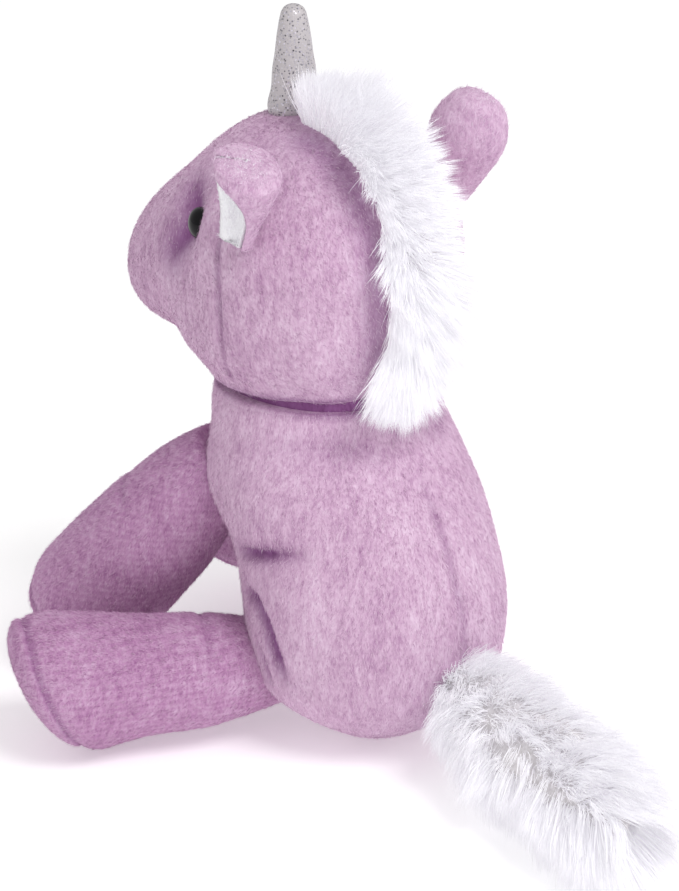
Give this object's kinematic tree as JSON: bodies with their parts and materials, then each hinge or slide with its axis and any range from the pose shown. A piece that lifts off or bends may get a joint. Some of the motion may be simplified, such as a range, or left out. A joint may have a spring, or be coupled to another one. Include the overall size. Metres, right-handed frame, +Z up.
{
  "type": "plush unicorn",
  "caption": "Seated plush unicorn toy in lilac pile fabric, with white fur mane and tail, a silver horn and legs, head, ears and tail that move.",
  "frame": {"origin": "middle of the flat seat gusset under the body, on the surface it sits on", "axes": "+Z up; the toy faces -Y, its left side is +X and its tail points along +Y"},
  "size_m": [0.2029, 0.2537, 0.2215],
  "materials": {
    "lilac_plush": "brushed short pile",
    "white_plush": "brushed short pile",
    "white_fur": "long fur",
    "silver_fabric": "metallic foil dots",
    "black_plastic": "gloss",
    "washer_plastic": "matte",
    "fibre_fill": "loose fibre",
    "pellet_cloth": "woven",
    "purple_thread": "satin stitch"
  },
  "bodies": {
    "torso": {"body_panel_left": "lilac_plush", "body_panel_right": "lilac_plush", "seat_gusset": "lilac_plush", "body_stuffing": "fibre_fill", "pellet_bag": "pellet_cloth"},
    "neck": {"neck_band": "lilac_plush", "neck_stuffing": "fibre_fill"},
    "head": {"face_panel_left": "lilac_plush", "face_panel_right": "lilac_plush", "head_back_panel_left": "lilac_plush", "head_back_panel_right": "lilac_plush", "head_stuffing": "fibre_fill", "mane": "white_fur", "eye_left": "black_plastic", "eye_right": "black_plastic", "eye_washer_left": "washer_plastic", "eye_washer_right": "washer_plastic", "nostril_left": "purple_thread", "nostril_right": "purple_thread", "mouth_stitch": "purple_thread"},
    "horn": {"horn_cover": "silver_fabric", "horn_stuffing": "fibre_fill"},
    "tail_base": {"tail_root": "white_plush"},
    "tail": {"tail_fur": "white_fur", "tail_stuffing": "fibre_fill"},
    "ear_left": {"ear_back_left": "lilac_plush", "ear_lining_left": "white_plush"},
    "front_leg_left": {"front_leg_sleeve_left": "lilac_plush", "front_leg_sole_left": "lilac_plush", "front_leg_stuffing_left": "fibre_fill"},
    "hind_leg_left": {"hind_leg_sleeve_left": "lilac_plush", "hind_leg_sole_left": "lilac_plush", "hind_leg_stuffing_left": "fibre_fill"},
    "ear_right": {"ear_back_right": "lilac_plush", "ear_lining_right": "white_plush"},
    "front_leg_right": {"front_leg_sleeve_right": "lilac_plush", "front_leg_sole_right": "lilac_plush", "front_leg_stuffing_right": "fibre_fill"},
    "hind_leg_right": {"hind_leg_sleeve_right": "lilac_plush", "hind_leg_sole_right": "lilac_plush", "hind_leg_stuffing_right": "fibre_fill"}
  },
  "joints": [
    {"name": "head_turn", "type": "hinge", "parent": "torso", "child": "neck", "pos_m": [0, -0.025, 0.108], "axis": [0, 0, 1], "range_deg": [-35, 35]},
    {"name": "head_nod", "type": "hinge", "parent": "neck", "child": "head", "pos_m": [0, -0.025, 0.108], "axis": [1, 0, 0], "range_deg": [-9, 9]},
    {"name": "tail_swing", "type": "hinge", "parent": "torso", "child": "tail_base", "pos_m": [0, 0.033, 0.024], "axis": [0, 0, 1], "range_deg": [-18, 46]},
    {"name": "tail_lift", "type": "hinge", "parent": "tail_base", "child": "tail", "pos_m": [0, 0.033, 0.024], "axis": [0.9613, -0.2756, 0], "range_deg": [0, 20]},
    {"name": "horn_flex", "type": "hinge", "parent": "head", "child": "horn", "pos_m": [0, -0.04, 0.1915], "axis": [1, 0, 0], "range_deg": [-10, 10], "stiffness_Nm_per_rad": 0.01},
    {"name": "hip_left", "type": "hinge", "parent": "torso", "child": "hind_leg_left", "pos_m": [0.027, -0.025, 0.023], "axis": [-0.5446, -0.8387, 0], "range_deg": [0, 24]},
    {"name": "shoulder_left", "type": "hinge", "parent": "torso", "child": "front_leg_left", "pos_m": [0.024, -0.054, 0.0745], "axis": [-0.9511, -0.309, 0], "range_deg": [0, 40]},
    {"name": "ear_flex_left", "type": "hinge", "parent": "head", "child": "ear_left", "pos_m": [0.0445, -0.018, 0.159], "axis": [0, 1, 0], "range_deg": [-5, 45], "stiffness_Nm_per_rad": 0.004},
    {"name": "hip_right", "type": "hinge", "parent": "torso", "child": "hind_leg_right", "pos_m": [-0.027, -0.025, 0.023], "axis": [-0.6428, 0.766, 0], "range_deg": [0, 24]},
    {"name": "shoulder_right", "type": "hinge", "parent": "torso", "child": "front_leg_right", "pos_m": [-0.024, -0.054, 0.0745], "axis": [-0.9613, 0.2756, 0], "range_deg": [0, 40]},
    {"name": "ear_flex_right", "type": "hinge", "parent": "head", "child": "ear_right", "pos_m": [-0.0445, -0.018, 0.159], "axis": [0, -1, 0], "range_deg": [-5, 45], "stiffness_Nm_per_rad": 0.004}
  ]
}
